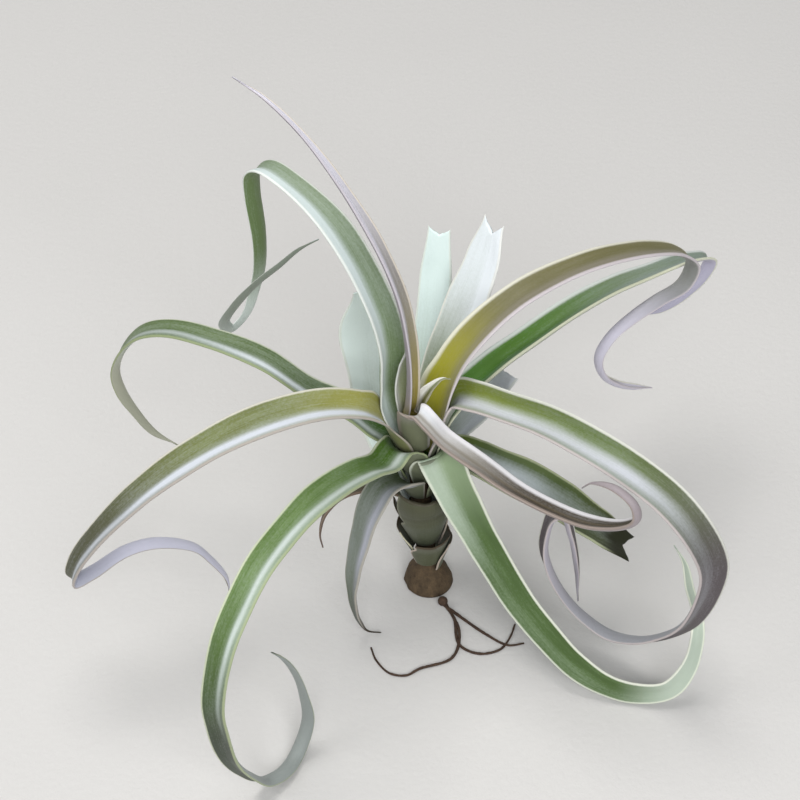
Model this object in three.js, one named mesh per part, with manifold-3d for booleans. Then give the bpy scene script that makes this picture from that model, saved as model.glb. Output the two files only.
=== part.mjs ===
// Air plant: a stemmed rosette of long, channelled, curling leaves, standing on its trimmed stem.
// Millimetres, +Z up. The origin is the centre of the stem's flat butt.
import * as THREE from "three";
import { mergeVertices } from "three/addons/utils/BufferGeometryUtils.js";
import Module from "manifold-3d";

const wasm = await Module();
wasm.setup();

// Driving dimensions
const crownHeight = 95; // where the leaves part from each other
const crownLean = -7; // how far the crown stands to the left of the butt
const stemRadius = 4.2;
const stemTop = 78;
const buttRadius = 10;
const sheathRootRadius = 5.4; // outside of a leaf base where it leaves the stem
const sheathFlare = Math.tan(THREE.MathUtils.degToRad(18)); // leaf bases nest as cones
const sheathWall = 0.7;
const sheathRise = 18; // height of a leaf base
const claspHalfAngle = THREE.MathUtils.degToRad(73); // how far round the stem a base reaches, each way
const rimHalfAngle = THREE.MathUtils.degToRad(46); // and how far where it becomes the blade
const bladeGrowth = 18; // length over which a base turns into a blade
const foldStart = THREE.MathUtils.degToRad(12); // a leaf that bends away sooner is all blade once it has
const foldEnd = THREE.MathUtils.degToRad(55); // turned this far from its base
const sheathStep = 3.8; // height from one leaf base to the next one out
const marginWall = 0.7;
const midribWall = 1.7;
const columns = 6; // facets across a leaf
const ringLength = 22; // a ring at least this often along a leaf
const ringTurn = THREE.MathUtils.degToRad(27); // and at least this often round a curl

const zAxis = new THREE.Vector3(0, 0, 1);

// Height at which the base of the leaf of the given rank leaves the stem; rank 0 is the innermost.
const rootHeight = (rank) => 75 - sheathStep * rank;

// The stem leans, so the middle of the plant moves to the left with height.
const axisAt = (height) => (crownLean * Math.min(height, crownHeight)) / crownHeight;

// The level direction of a heading in degrees, counted from +X towards +Y.
function compass(heading) {
  const angle = THREE.MathUtils.degToRad(heading);
  return new THREE.Vector3(Math.cos(angle), Math.sin(angle), 0);
}

// A value from a short list spread evenly over 0 to 1, joined smoothly.
function along(list, t) {
  const place = THREE.MathUtils.clamp(t, 0, 1) * (list.length - 1);
  const low = Math.min(Math.floor(place), list.length - 2);
  const part = place - low;
  return THREE.MathUtils.lerp(list[low], list[low + 1], part * part * (3 - 2 * part));
}

// The midrib: first up the cone of the leaf base, then through the points of the blade. A point of the
// blade is its reach from the crown's centre, its height, and how far it lies left of the heading.
function midribOf(leaf) {
  const { heading, rank, root = heading, path } = leaf;
  const { rise = sheathRise, rootRadius = sheathRootRadius, flare = sheathFlare } = leaf;
  const outward = compass(root);
  const points = [0, 0.5, 1].map((share) => {
    const height = rootHeight(rank) + rise * share;
    const radius = rootRadius + rise * share * flare;
    return outward.clone().multiplyScalar(radius).add(new THREE.Vector3(axisAt(height), 0, height));
  });
  const ahead = compass(heading);
  const leftOfAhead = compass(heading + 90);
  for (const [reach, height, side = 0] of path) {
    const crown = new THREE.Vector3(crownLean, 0, height);
    points.push(crown.addScaledVector(ahead, reach).addScaledVector(leftOfAhead, side));
  }
  const curve = new THREE.CatmullRomCurve3(points, false, "centripetal");
  return { curve, outward, leftward: compass(root + 90) };
}

// Frames along the midrib, carried without spin from the base: tangent, and the face normal that
// points from the underside to the upper side.
function framesOf(leaf) {
  const { curve, outward, leftward } = midribOf(leaf);
  const steps = 240;
  curve.arcLengthDivisions = 600;
  const length = curve.getLength();
  const frames = [];
  let normal = zAxis.clone();
  let turned = 0;
  for (let i = 0; i <= steps; i++) {
    const tangent = curve.getTangentAt(i / steps);
    if (i === 0) normal = leftward.clone().cross(tangent).negate();
    else turned += tangent.angleTo(frames[i - 1].tangent);
    normal = normal.clone().addScaledVector(tangent, -normal.dot(tangent)).normalize();
    frames.push({ point: curve.getPointAt(i / steps), tangent, normal, turned, run: (i / steps) * length });
  }
  if (frames[0].normal.dot(outward) > 0) for (const frame of frames) frame.normal.negate();
  return { frames, length, outward, leftward };
}

// Stations are spread by length and by turning, so that curls stay round and straight runs stay plain.
// The leaf base has three of its own.
function stationsOf({ frames }, baseShare) {
  const last = frames.length - 1;
  const start = Math.round(baseShare * last);
  const { run, turned } = frames[start];
  const cost = (frame) => (frame.run - run) / ringLength + (frame.turned - turned) / ringTurn;
  const total = cost(frames[last]);
  const count = Math.max(2, Math.round(total));
  const stations = [0, 0.6 * baseShare];
  let at = start;
  for (let i = 0; i <= count; i++) {
    while (at < last && cost(frames[at]) < (total * i) / count - 1e-9) at++;
    stations.push(at / last);
  }
  return stations;
}

// The skin of one leaf: a channel section carried along the midrib. At the base the section is an arc
// round the plant's axis, so that the bases nest; along the blade it is as wide and rolled as the lists say.
function leafGeometry(leaf) {
  const { width, roll, twist = [0, 0], notch = 0, wall = midribWall, rise = sheathRise } = leaf;
  const { clasp = claspHalfAngle, rim = rimHalfAngle, growth = bladeGrowth } = leaf;
  const spine = framesOf(leaf);
  const { frames, length, outward, leftward } = spine;
  const last = frames.length - 1;
  const baseShare = rise / length;

  const place = (t, across, top) => {
    const at = THREE.MathUtils.clamp(t, 0, 1) * last;
    const low = Math.min(Math.floor(at), last - 1);
    const part = at - low;
    const point = frames[low].point.clone().lerp(frames[low + 1].point, part);
    const tangent = frames[low].tangent.clone().lerp(frames[low + 1].tangent, part).normalize();
    const normal = frames[low].normal.clone().lerp(frames[low + 1].normal, part).normalize();
    const turned = THREE.MathUtils.lerp(frames[low].turned, frames[low + 1].turned, part);
    const grown = THREE.MathUtils.smoothstep(t, baseShare, baseShare + growth / length);
    const folded = t > baseShare ? THREE.MathUtils.smoothstep(turned, foldStart, foldEnd) : 0;
    const blade = 1 - (1 - grown) * (1 - folded);
    const reach = Math.hypot(point.x - axisAt(point.z), point.y);

    // The section's own two directions, level at the base and square to the midrib in the blade.
    normal.applyAxisAngle(tangent, THREE.MathUtils.degToRad(along(twist, t)));
    normal.lerp(outward.clone().negate(), 1 - blade).normalize();
    const side = tangent.clone().cross(normal).normalize();
    side.lerp(leftward.clone().multiplyScalar(Math.sign(side.dot(leftward)) || 1), 1 - blade).normalize();

    const bladeWidth = along(width, (t - baseShare) / (1 - baseShare));
    const bladeRoll = THREE.MathUtils.degToRad(along(roll, (t - baseShare) / (1 - baseShare)));
    const hold = THREE.MathUtils.lerp(clasp, rim, Math.min(1, t / baseShare) ** 4);
    const flat = THREE.MathUtils.lerp(2 * hold * reach, bladeWidth, blade);
    const bend = THREE.MathUtils.lerp(1 / reach, bladeRoll / bladeWidth, blade);
    const thick = Math.min(THREE.MathUtils.lerp(sheathWall, wall, blade * blade), marginWall + flat * 0.09);
    const edge = across * across;
    const inset = top ? THREE.MathUtils.lerp(thick, marginWall, edge * edge) : 0;
    const angle = (across * flat * bend) / 2;
    const depth = (1 - Math.cos((flat * bend) / 2)) / bend;
    return point
      .addScaledVector(side, Math.sin(angle) * (1 / bend - inset))
      .addScaledVector(normal, 1 / bend - Math.cos(angle) * (1 / bend - inset) - (blade * depth) / 2);
  };

  // A trimmed end is cut in a notch between two horns, by pulling the middle columns back.
  const cutBack = (t, across) => {
    const ramp = THREE.MathUtils.smoothstep(t, 1 - 22 / length, 1);
    return notch ? t - (ramp * notch * (1 - Math.abs(across)) ** 0.8) / length : t;
  };

  const stations = stationsOf(spine, baseShare);
  const positions = [];
  const ringSize = 2 * (columns + 1);
  for (const t of stations)
    for (const top of [false, true])
      for (let c = 0; c <= columns; c++) {
        const across = (2 * c) / columns - 1;
        const p = place(cutBack(t, across), across, top);
        positions.push(p.x, p.y, p.z);
      }

  const triangles = [];
  const quad = (a, b, c, d) => triangles.push(a, b, c, a, c, d);
  const flipped = (a, b, c, d) => triangles.push(a, c, b, a, d, c);
  for (let s = 0; s < stations.length - 1; s++) {
    const here = s * ringSize;
    const next = here + ringSize;
    const up = columns + 1;
    for (let c = 0; c < columns; c++) {
      quad(here + c, here + c + 1, next + c + 1, next + c);
      flipped(here + up + c, here + up + c + 1, next + up + c + 1, next + up + c);
    }
    flipped(here, here + up, next + up, next);
    quad(here + columns, here + up + columns, next + up + columns, next + columns);
  }
  const end = (stations.length - 1) * ringSize;
  const up = columns + 1;
  for (let c = 0; c < columns; c++) {
    flipped(c, c + 1, up + c + 1, up + c);
    quad(end + c, end + c + 1, end + up + c + 1, end + up + c);
  }
  return closedGeometry(positions, triangles);
}

// Indexed geometry from plain lists, turned to face outward.
function closedGeometry(positions, triangles) {
  const vertProperties = new Float32Array(positions);
  let triVerts = new Uint32Array(triangles);
  const solid = new wasm.Manifold(new wasm.Mesh({ numProp: 3, vertProperties, triVerts }));
  if (solid.volume() < 0) triVerts = triVerts.map((v, i, all) => all[i - (i % 3) + [0, 2, 1][i % 3]]);
  const geometry = new THREE.BufferGeometry();
  geometry.setAttribute("position", new THREE.BufferAttribute(vertProperties, 3));
  geometry.setIndex(new THREE.BufferAttribute(triVerts, 1));
  return geometry;
}

// One solid from several closed geometries that run into each other.
function joined(geometries) {
  const solids = geometries.map((geometry) => {
    for (const name of ["normal", "uv"]) geometry.deleteAttribute(name);
    const merged = mergeVertices(geometry, 1e-4);
    const vertProperties = merged.getAttribute("position").array;
    const triVerts = new Uint32Array(merged.index.array);
    return new wasm.Manifold(new wasm.Mesh({ numProp: 3, vertProperties, triVerts }));
  });
  const mesh = solids.reduce((all, one) => all.add(one)).getMesh();
  return closedGeometry(mesh.vertProperties, mesh.triVerts);
}

const plant = new THREE.Group();

function addPiece(name, geometry, colour, roughness = 0.75) {
  const material = new THREE.MeshStandardMaterial({ color: colour, roughness, metalness: 0 });
  const mesh = new THREE.Mesh(geometry, material);
  mesh.name = name;
  plant.add(mesh);
}

const green = 0x7c9466;
const olive = 0x8f9560;
const silver = 0xb4bfae;
const mauve = 0xa79aa0;
const straw = 0xa8997c;
const bark = 0x5f5140;

const leaves = [
  {
    name: "leaf_spike", // the tall rolled young leaf
    colour: mauve, heading: 145, rank: -1.6, rise: 8, rootRadius: 2.6, flare: 0.05, clasp: 1.9, rim: 1.8,
    path: [[1, 93], [0, 108], [1, 124], [5, 143], [14, 161], [28, 179], [44, 194], [59, 202], [72, 205]],
    width: [11, 10, 9, 8, 6, 4, 2], roll: [210, 200, 170, 160, 170, 180, 180],
  },
  {
    name: "leaf_heart", // the young leaf folded round the spike
    colour: olive, heading: 115, rank: -1, rise: 12,
    rootRadius: 4.5, flare: 0.05, clasp: 1.3, rim: 1.2, wall: 0.8,
    path: [[6, 99], [6, 108], [5, 119]],
    width: [14, 13, 9, 2], roll: [170, 160, 140, 130],
  },
  {
    name: "leaf_heart_small", // the youngest leaf, arching to the right
    colour: silver, heading: 15, root: 30, rank: -1.3, rise: 12,
    rootRadius: 3.5, flare: 0.05, clasp: 1, rim: 0.9, growth: 12, wall: 0.8,
    path: [[5, 99], [8, 103], [11, 105], [14, 104]],
    width: [8, 8, 6, 3], roll: [170, 170, 160, 150],
  },
  {
    name: "leaf_upper_left",
    colour: green, heading: 136, rank: 0,
    path: [
      [11, 103], [11, 116], [15, 129], [28, 147], [40, 156], [57, 161], [70, 161], [76, 156], [77, 146],
      [75, 128], [76, 112], [80, 98], [85, 84, 1], [89, 77, 5], [87, 84, 10], [76, 103, 12], [65, 119, 12],
      [55, 132, 10], [46, 144, 8], [38, 152, 6],
    ],
    width: [17, 16, 14, 11, 9, 8, 7, 6, 5, 3], roll: [140, 120, 90, 90, 110, 120, 140, 160, 170, 180],
  },
  {
    name: "leaf_narrow_front",
    colour: silver, heading: 324, root: 275, rank: -0.4, rise: 17,
    rootRadius: 5.6, flare: 0.08, clasp: 1.13, rim: 1, growth: 12, twist: [0, 49, 49, 49, 49, 49, 49, 49],
    path: [
      [6, 98, -5], [10, 96, -5], [16, 89, -3], [30, 82], [44, 79], [60, 79], [75, 82], [87, 89], [92, 96],
      [90, 102], [82, 105], [74, 102], [70, 97],
    ],
    width: [13, 12, 12, 11, 10, 8, 5, 2], roll: [150, 130, 140, 150, 150, 160, 170, 180],
  },
  {
    name: "leaf_upper_right_olive",
    colour: olive, heading: 33, rank: 1, rim: 0.8,
    path: [
      [14, 100], [20, 110], [30, 118], [44, 124], [60, 126], [76, 125], [91, 122], [105, 117], [117, 110],
      [124, 101], [121, 93], [110, 91], [98, 88], [88, 83], [83, 75], [86, 64], [96, 53], [112, 43],
    ],
    width: [19, 16, 14, 13, 12, 10, 8, 7, 7, 5], roll: [120, 100, 90, 90, 80, 90, 120, 150, 170, 180],
  },
  {
    name: "leaf_left_front",
    colour: olive, heading: 200, root: 195, rank: 1, rise: 21, rim: 0.7,
    path: [
      [17, 99], [31, 105], [48, 106], [65, 103], [84, 95], [101, 84], [115, 71], [124, 59], [126, 52],
      [119, 54], [107, 60], [96, 60], [83, 53], [77, 43], [72, 31], [71, 22],
    ],
    width: [16, 16, 16, 15, 13, 11, 10, 9, 8, 5], roll: [110, 90, 80, 80, 80, 90, 120, 150, 170, 180],
  },
  {
    name: "leaf_ring", // the broad leaf whose end curls into a ring
    colour: green, heading: 345, root: 8, rank: 2, clasp: 1.15, rim: 0.8,
    path: [
      [14, 95, 8], [22, 99, 5], [34, 101, 1], [49, 103, -4], [64, 103, -10], [79, 100, -15], [94, 93, -19],
      [105, 84, -23], [112, 70, -24], [112, 56, -24], [107, 36, -23], [100, 26, -22], [91, 19, -21],
      [80, 15, -18], [70, 19, -16], [63, 24, -14], [57, 33, -13], [53, 46, -13], [53, 57, -13],
      [55, 67, -13], [58, 68, -12], [61, 58, -11], [63, 45, -9], [64, 27, -4], [65, 11, -3],
    ],
    width: [17, 18, 17, 15, 14, 13, 12, 11, 9, 7, 4],
    roll: [140, 180, 150, 110, 90, 90, 100, 120, 150, 170, 180],
  },
  {
    name: "leaf_upper_right_green",
    colour: green, heading: 38, rank: 3,
    path: [
      [18, 85], [27, 89], [39, 93], [53, 95], [73, 98], [94, 98], [113, 95], [134, 91], [146, 84],
      [142, 77], [132, 73], [121, 72], [112, 74],
    ],
    width: [18, 16, 16, 15, 13, 11, 9, 7, 4], roll: [120, 150, 170, 160, 140, 120, 140, 160, 180],
  },
  {
    name: "leaf_lower_left",
    colour: green, heading: 241, root: 235, rank: 3, rim: 0.9,
    path: [
      [20, 83], [33, 92], [53, 103], [70, 109], [87, 111], [101, 110], [113, 104], [122, 96], [130, 76],
      [129, 59], [125, 39], [117, 20, 1], [108, 6, 2], [100, 3, 4], [92, 3, 4], [84, 12, 4], [84, 28, 3],
      [87, 43, 2], [92, 56, 1], [97, 64],
    ],
    width: [16, 15, 14, 12, 11, 10, 10, 10, 9, 8, 6, 4],
    roll: [110, 90, 80, 80, 80, 90, 100, 120, 150, 160, 170, 180],
  },
  {
    name: "leaf_cupped", // old leaf, cut short
    colour: silver, heading: 347, root: 8, rank: 6.1, rise: 15, rim: 0.85, notch: 4,
    path: [[15, 68, 6], [22, 68, 4], [34, 66, 1], [49, 60], [65, 50], [82, 38]],
    width: [19, 21, 24, 23, 19, 13], roll: [120, 100, 100, 100, 80, 60],
  },
  {
    name: "leaf_left",
    colour: green, heading: 164, rank: 4, clasp: 0.9,
    path: [
      [15, 81], [22, 86], [38, 92], [54, 102], [72, 107], [88, 108], [99, 104], [107, 95], [112, 82],
      [111, 72], [107, 63], [100, 53], [90, 48],
    ],
    width: [18, 14, 12, 12, 11, 10, 9, 8, 6, 3], roll: [120, 90, 80, 70, 70, 70, 90, 130, 160, 170],
  },
  {
    name: "leaf_front_right",
    colour: green, heading: 320, rank: 4, rim: 0.85,
    path: [
      [15, 78, -1], [21, 70, -2], [29, 56, -1], [40, 40], [52, 27], [65, 18], [77, 12], [88, 7, 3],
      [98, 5, 8], [108, 8, 15], [111, 16, 22], [109, 24, 29], [105, 30, 34], [98, 34, 39], [91, 38, 45],
      [85, 43, 46],
    ],
    width: [20, 17, 15, 14, 13, 12, 10, 9, 7, 5, 3],
    roll: [110, 90, 90, 90, 80, 80, 90, 110, 130, 150, 170],
  },
  {
    name: "leaf_trimmed_right",
    colour: silver, heading: 61, rank: 5.1, notch: 5,
    path: [[15, 75, 2], [26, 83, 5], [34, 96, 3], [42, 110], [49, 124, -2], [56, 140, -3]],
    width: [18, 14, 18, 21, 18, 11], roll: [110, 80, 70, 60, 60, 60],
  },
  {
    name: "leaf_dry_tip",
    colour: silver, heading: 235, rank: 6.1, rise: 12, clasp: 0.9, rim: 0.9,
    path: [[17, 67], [26, 62], [31, 52], [35, 42], [37, 31], [36, 19], [33, 8], [31, 2, 2], [28, 1, 6]],
    width: [19, 14, 11, 9, 6, 4, 2], roll: [110, 80, 80, 90, 110, 140, 160],
  },
  {
    name: "leaf_trimmed_left",
    colour: silver, heading: 86, rank: 7.1, rise: 15, notch: 3,
    path: [[14, 67, -1], [28, 72, -3], [45, 84, -4], [55, 103, -5], [61, 126, -6]],
    width: [17, 14, 14, 13, 9], roll: [110, 80, 70, 60, 60],
  },
  {
    name: "leaf_pale_back",
    colour: silver, heading: 121, rank: 8.1, rise: 14,
    path: [[16, 60], [26, 65], [34, 79, -1], [37, 97, -1], [38, 119]],
    width: [18, 13, 14, 18, 12], roll: [100, 70, 60, 60, 70],
  },
  {
    name: "leaf_pale_side",
    colour: silver, heading: 36, root: 48, rank: 9.15, rise: 15, rim: 0.8, notch: 3,
    path: [[15, 58, 4], [24, 67, 3], [34, 80, 1], [43, 91]],
    width: [13, 14, 20, 20], roll: [100, 80, 70, 60],
  },
  {
    name: "old_leaf_base", // the broad old base in front, cut short
    colour: silver, heading: 278, rank: 13, notch: 2,
    path: [[12, 50, 3], [13, 61, 3]],
    width: [27, 25, 22], roll: [150, 130, 110],
  },
  {
    name: "dried_leaf_end",
    colour: straw, heading: 185, rank: 9.1, rise: 12, clasp: 0.95,
    path: [[16, 54], [24, 51], [31, 42], [34, 30], [33, 22]],
    width: [12, 8, 5, 3, 2], roll: [120, 120, 120, 140, 150],
  },
];

// Old leaf bases, cut or rotted back to short cups: how far round each sits, and its rank down the stem.
const cupRise = 14;
const oldSheaths = [[340, 10.2], [98, 11], [215, 12], [60, 14], [165, 15], [295, 16], [20, 17]];

for (const leaf of leaves) addPiece(leaf.name, leafGeometry(leaf), leaf.colour);

oldSheaths.forEach(([heading, rank], i) => {
  const rim = sheathRootRadius + cupRise * sheathFlare;
  const top = rootHeight(rank) + cupRise;
  const lean = axisAt(top) - crownLean;
  const angle = THREE.MathUtils.degToRad(heading);
  const path = [[rim + 0.8 + lean * Math.cos(angle), top + 3, -lean * Math.sin(angle)]];
  const lip = { width: [2.4 * rim, 1.2 * rim], roll: [135, 70], wall: sheathWall };
  const stub = { heading, rank, rise: cupRise, path, ...lip };
  addPiece("old_sheath_" + (i + 1), leafGeometry(stub), i % 2 ? straw : silver);
});

// The stem: a slim woody core inside the leaf bases, with a wider flat butt.
const stemProfile = [
  [0, 0], [buttRadius - 1, 0], [buttRadius, 1], [buttRadius - 1, 5], [6.5, 8], [stemRadius, 10],
  [stemRadius, 66], [3, stemTop - 2], [2, stemTop], [0, stemTop],
].map(([r, z]) => new THREE.Vector2(r, z));
const stem = new THREE.LatheGeometry(stemProfile, 20);
stem.rotateX(Math.PI / 2);
const stemPositions = stem.getAttribute("position");
for (let i = 0; i < stemPositions.count; i++)
  stemPositions.setX(i, stemPositions.getX(i) + axisAt(stemPositions.getZ(i)));
addPiece("stem", stem, bark, 0.9);

// Wiry roots that lie on the surface in front of the butt, all grown from one knuckle.
const rootRadius = 0.6;
const rootRoutes = [
  [[5, -11.6], [9, -19], [11, -32], [18, -36], [26, -34], [30, -28], [32, -22]],
  [[6, -12], [11, -26], [8, -38], [-4, -43], [-9, -46], [-15, -45], [-20, -39], [-22, -33]],
  [[4.5, -12], [13, -20], [21, -27], [29, -32], [35, -31]],
];
const rootSection = new THREE.Shape(new THREE.Path().absarc(0, 0, rootRadius, 0, 2 * Math.PI).getPoints(3));
const threads = rootRoutes.map((route) => {
  const points = route.map(([x, y]) => new THREE.Vector3(x, y, rootRadius + 0.02));
  const extrudePath = new THREE.CatmullRomCurve3(points, false, "centripetal");
  return new THREE.ExtrudeGeometry(rootSection, { extrudePath, steps: 2 * route.length });
});
const knuckle = new THREE.SphereGeometry(1.9, 8, 6).translate(5, -12.1, 1.9);
addPiece("roots", joined([knuckle, ...threads]), bark, 0.95);

export default plant;
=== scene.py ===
import bpy
import bmesh
import math
from mathutils import Matrix, Vector, noise


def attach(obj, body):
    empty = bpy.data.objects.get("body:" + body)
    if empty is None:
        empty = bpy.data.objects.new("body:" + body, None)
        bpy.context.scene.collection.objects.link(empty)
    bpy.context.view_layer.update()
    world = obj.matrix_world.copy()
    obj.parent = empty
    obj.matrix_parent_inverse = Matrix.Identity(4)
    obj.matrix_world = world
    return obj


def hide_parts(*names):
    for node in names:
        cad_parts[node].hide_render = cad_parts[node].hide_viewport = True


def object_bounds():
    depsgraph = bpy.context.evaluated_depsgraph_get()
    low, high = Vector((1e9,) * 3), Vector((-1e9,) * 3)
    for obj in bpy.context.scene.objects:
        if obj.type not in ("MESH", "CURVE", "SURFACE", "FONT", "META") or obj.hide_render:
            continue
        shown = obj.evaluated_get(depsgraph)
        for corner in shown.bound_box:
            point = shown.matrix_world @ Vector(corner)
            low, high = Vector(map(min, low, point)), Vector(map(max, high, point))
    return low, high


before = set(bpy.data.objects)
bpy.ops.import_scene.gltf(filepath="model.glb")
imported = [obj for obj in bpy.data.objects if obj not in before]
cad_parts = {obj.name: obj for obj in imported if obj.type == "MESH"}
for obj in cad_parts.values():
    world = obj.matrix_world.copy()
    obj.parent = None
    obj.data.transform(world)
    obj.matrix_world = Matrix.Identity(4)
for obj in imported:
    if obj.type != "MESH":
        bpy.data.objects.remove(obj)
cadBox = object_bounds()
mm = 0.001

# the same plan as the solids, in millimetres: leaves grow from nested cones round a leaning stem
plan = {
    "crownHeight": 95, "crownLean": -7, "topRoot": 75, "step": 3.8,
    "rootRadius": 5.4, "flare": math.tan(math.radians(18)), "rise": 18,
    "clasp": math.radians(73), "rim": math.radians(46), "growth": 18,
    "foldStart": math.radians(12), "foldEnd": math.radians(55),
    "sheathWall": 0.7, "ribWall": 1.7, "edgeWall": 0.7, "wallPerWidth": 0.09,
    "taper": 16, "tipNarrows": 0.72, "tipThins": 0.35, "marginRound": 0.6,
}
# how finely a leaf is drawn: rings for its run in millimetres and for its turning, and a few at its very ends
detail = {
    "along": 190, "around": 44, "frames": 480, "perStretch": 60,
    "ringRun": 1.6, "ringTurn": math.radians(3), "endRings": [0.08, 0.25, 0.5, 0.8],
}
# the small irregularities of a grown leaf, and of an end that was trimmed and has dried
waver = {"height": 0.35, "perMm": 0.045, "hornLength": 22, "ragged": 0.9}


def smoothStep(x, low, high):
    x = min(1, max(0, (x - low) / (high - low)))
    return x * x * (3 - 2 * x)


def mix(a, b, share):
    return a + (b - a) * share


# values spread evenly from 0 to 1, read with an eased change from each to the next
def alongList(values, t):
    place = min(1, max(0, t)) * (len(values) - 1)
    low = min(int(place), len(values) - 2)
    return mix(values[low], values[low + 1], smoothStep(place - low, 0, 1))


def compass(heading):
    return Vector((math.cos(math.radians(heading)), math.sin(math.radians(heading)), 0))


# how far the stem has leant at a height
def axisAt(height):
    return plan["crownLean"] * min(height, plan["crownHeight"]) / plan["crownHeight"]


# a running total cut into equal parts: the entry before each cut, and how far past it the cut lies
def evenCuts(totals, count):
    cuts, at = [], 0
    for i in range(count + 1):
        want = totals[-1] * i / count
        while at < len(totals) - 2 and totals[at + 1] < want:
            at += 1
        cuts.append((at, (want - totals[at]) / max(1e-9, totals[at + 1] - totals[at])))
    return cuts


# one smooth run through the points, closer points taking tighter turns
def threadPoints(points, count):
    padded = [points[0] * 2 - points[1]] + points + [points[-1] * 2 - points[-2]]
    raw = []
    for k in range(1, len(padded) - 2):
        a, b, c, d = padded[k - 1:k + 3]
        ab, bc, cd = [max(1e-4, (q - p).length ** 0.5) for p, q in ((a, b), (b, c), (c, d))]
        leave = ((b - a) / ab - (c - a) / (ab + bc) + (c - b) / bc) * bc
        arrive = ((c - b) / bc - (d - b) / (bc + cd) + (d - c) / cd) * bc
        for i in range(detail["perStretch"]):
            t = i / detail["perStretch"]
            raw.append(b + leave * t + (c * 3 - b * 3 - leave * 2 - arrive) * t * t
                       + (b * 2 - c * 2 + leave + arrive) * t ** 3)
    raw.append(points[-1].copy())
    runs = [0]
    for p, q in zip(raw, raw[1:]):
        runs.append(runs[-1] + (q - p).length)
    line = [raw[at].lerp(raw[at + 1], min(1, part)) for at, part in evenCuts(runs, count)]
    return line, runs[-1]


# the points that a leaf passes: up its sheath along the cone, then out along its own path
def leafStops(leaf, rise, outward):
    rootRadius, flare = leaf.get("rootRadius", plan["rootRadius"]), leaf.get("flare", plan["flare"])
    stops = []
    for share in (0, 0.5, 1):
        height = plan["topRoot"] - plan["step"] * leaf["rank"] + rise * share
        stops.append(outward * (rootRadius + rise * share * flare) + Vector((axisAt(height), 0, height)))
    ahead, left = compass(leaf["heading"]), compass(leaf["heading"] + 90)
    for reach, height, *side in leaf["path"]:
        stops.append(Vector((plan["crownLean"], 0, height)) + ahead * reach + left * sum(side))
    return stops


# the midrib with the direction of its upper side carried along it without spin
def traceMidrib(leaf):
    root = leaf.get("root", leaf["heading"])
    rise = leaf.get("rise", plan["rise"])
    outward, leftward = compass(root), compass(root + 90)
    count = detail["frames"]
    line, length = threadPoints(leafStops(leaf, rise, outward), count)
    frames, turned = [], 0
    for i, point in enumerate(line):
        tangent = (line[min(count, i + 1)] - line[max(0, i - 1)]).normalized()
        if i == 0:
            normal = -leftward.cross(tangent)
        else:
            turned += tangent.angle(frames[-1]["tangent"], 0)
        normal = (normal - tangent * normal.dot(tangent)).normalized()
        frames.append({"point": point, "tangent": tangent, "normal": normal,
                       "run": i / count * length, "turned": turned})
    if frames[0]["normal"].dot(outward) > 0:
        for one in frames:
            one["normal"] = -one["normal"]
    return {"frames": frames, "length": length, "outward": outward, "leftward": leftward, "rise": rise}


# the midrib at t from 0 to 1: its place, its two directions and how much it has turned so far
def readMidrib(frames, t):
    at = min(1, max(0, t)) * (len(frames) - 1)
    low = min(int(at), len(frames) - 2)
    here, there, part = frames[low], frames[low + 1], at - low
    point = here["point"].lerp(there["point"], part)
    tangent = here["tangent"].lerp(there["tangent"], part).normalized()
    normal = here["normal"].lerp(there["normal"], part).normalized()
    return point, tangent, normal, mix(here["turned"], there["turned"], part)


# a place on the leaf's skin: t along, across from -1 to 1, depth 0 on the underside to 1 on top
def skinPoint(leaf, midrib, t, across, depth, plump):
    length = midrib["length"]
    point, tangent, normal, turned = readMidrib(midrib["frames"], t)
    base = midrib["rise"] / length
    grown = smoothStep(t, base, base + leaf.get("growth", plan["growth"]) / length)
    folded = smoothStep(turned, plan["foldStart"], plan["foldEnd"]) if t > base else 0
    blade = 1 - (1 - grown) * (1 - folded)  # 0 in the sheath, 1 in the free blade
    reach = math.hypot(point.x - axisAt(point.z), point.y)

    # the sheath faces the stem squarely, the blade follows its midrib and its twist
    normal = Matrix.Rotation(math.radians(alongList(leaf.get("twist", [0, 0]), t)), 3, tangent) @ normal
    normal = normal.lerp(-midrib["outward"], 1 - blade).normalized()
    side = tangent.cross(normal).normalized()
    level = midrib["leftward"] * (1 if side.dot(midrib["leftward"]) > 0 else -1)
    side = side.lerp(level, 1 - blade).normalized()

    # the flat width and the bend of the cross section
    share = (t - base) / (1 - base)
    tip = smoothStep(t, 1 - plan["taper"] / length, 1)
    width = alongList(leaf["width"], share)
    if not leaf.get("notch"):
        width *= 1 - plan["tipNarrows"] * tip ** 2
    roll = math.radians(alongList(leaf["roll"], share))
    hold = mix(leaf.get("clasp", plan["clasp"]), leaf.get("rim", plan["rim"]), min(1, t / base) ** 4)
    flat = mix(2 * hold * reach, width, blade)
    bend = mix(1 / reach, roll / width, blade)

    # a thick middle and thin round margins
    edge = plan["edgeWall"] * (1 - plan["tipThins"] * tip)
    wall = mix(plan["sheathWall"], leaf.get("wall", plan["ribWall"]), blade * blade)
    full = mix(min(wall, edge + flat * plan["wallPerWidth"]), edge, across ** 4)
    rounding = plan["marginRound"] * edge / (flat / 2)
    over = max(0, abs(across) - (1 - rounding)) / rounding
    plump *= math.sqrt(max(0, 1 - over * over))
    radius = 1 / bend - full * (0.5 + (depth - 0.5) * plump)
    angle = across * flat * bend / 2
    sag = (1 - math.cos(flat * bend / 2)) / bend
    return point + side * (math.sin(angle) * radius) + normal * (
        1 / bend - math.cos(angle) * radius - blade * sag / 2)


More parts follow.
